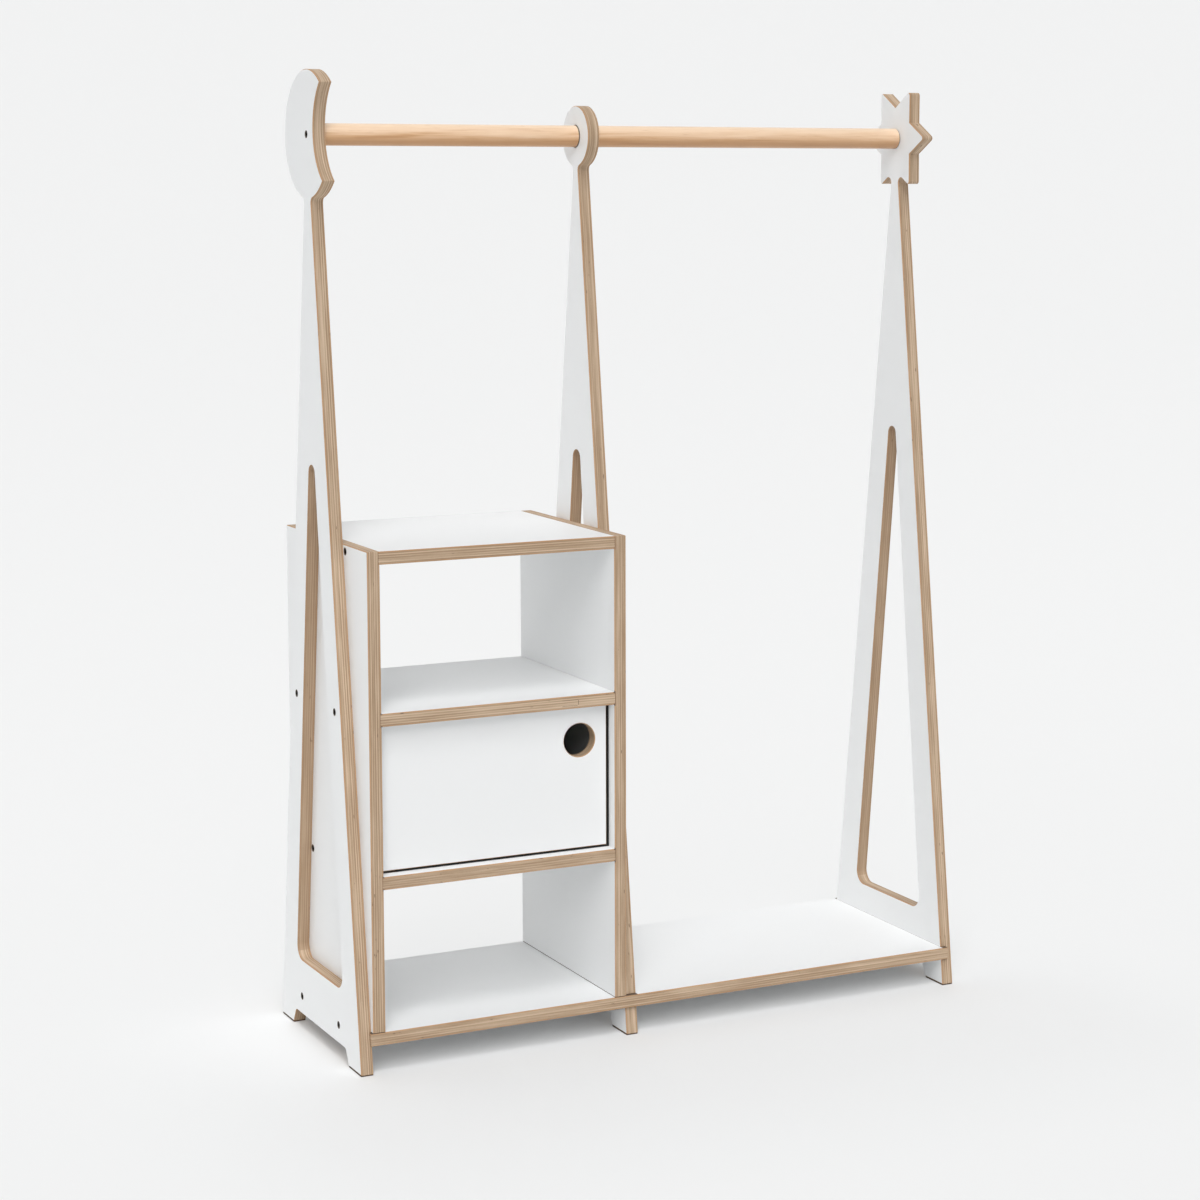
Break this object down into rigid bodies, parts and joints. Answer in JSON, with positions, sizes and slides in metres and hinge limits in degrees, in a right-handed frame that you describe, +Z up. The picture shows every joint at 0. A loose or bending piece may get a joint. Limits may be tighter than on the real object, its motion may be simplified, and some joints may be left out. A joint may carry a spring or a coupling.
{
  "type": "kids wardrobe",
  "caption": "Open children's wardrobe of white-faced plywood: A-shaped frames with moon, ring and star heads, a round hanging rail, a base shelf and a shelf unit with a small door",
  "frame": {"origin": "on the floor, under the middle of the wardrobe's length and depth", "axes": "+X along the rail towards the star frame, -Y out of the front, +Z up"},
  "size_m": [1, 0.34, 1.428],
  "materials": {
    "white_ply": "white laminate faces, clear-coated layered edges",
    "rail_wood": "clear satin lacquer",
    "felt": "pressed felt",
    "screw_steel": "black coating",
    "pivot_steel": "bright drawn",
    "bush_plastic": "moulded",
    "catch_plastic": "moulded",
    "seal_foam": "black foam tape",
    "magnet": "dark coating",
    "strike_steel": "brushed"
  },
  "bodies": {
    "carcass": {"moon_frame": "white_ply", "ring_frame": "white_ply", "star_frame": "white_ply", "base_shelf": "white_ply", "unit_left_panel": "white_ply", "unit_right_panel": "white_ply", "unit_top": "white_ply", "upper_shelf": "white_ply", "lower_shelf": "white_ply", "unit_back_panel": "white_ply", "hanging_rail": "rail_wood", "moon_front_foot_pad": "felt", "moon_back_foot_pad": "felt", "ring_front_foot_pad": "felt", "ring_back_foot_pad": "felt", "star_front_foot_pad": "felt", "star_back_foot_pad": "felt", "rail_screws": "screw_steel", "base_shelf_screws": "screw_steel", "upper_shelf_screws": "screw_steel", "lower_shelf_screws": "screw_steel", "unit_top_screws": "screw_steel", "catch_screws": "screw_steel", "pivot_bushes": "bush_plastic", "door_catch": "catch_plastic", "door_seals": "seal_foam", "catch_magnet": "magnet"},
    "door_leaf": {"door": "white_ply", "pivot_pins": "pivot_steel", "door_strike": "strike_steel", "strike_screw": "screw_steel"}
  },
  "joints": [
    {"name": "door_hinge", "type": "hinge", "parent": "carcass", "child": "door_leaf", "pos_m": [-0.4485, -0.1405, 0.3965], "axis": [0, 0, -1], "range_deg": [0, 95]}
  ]
}
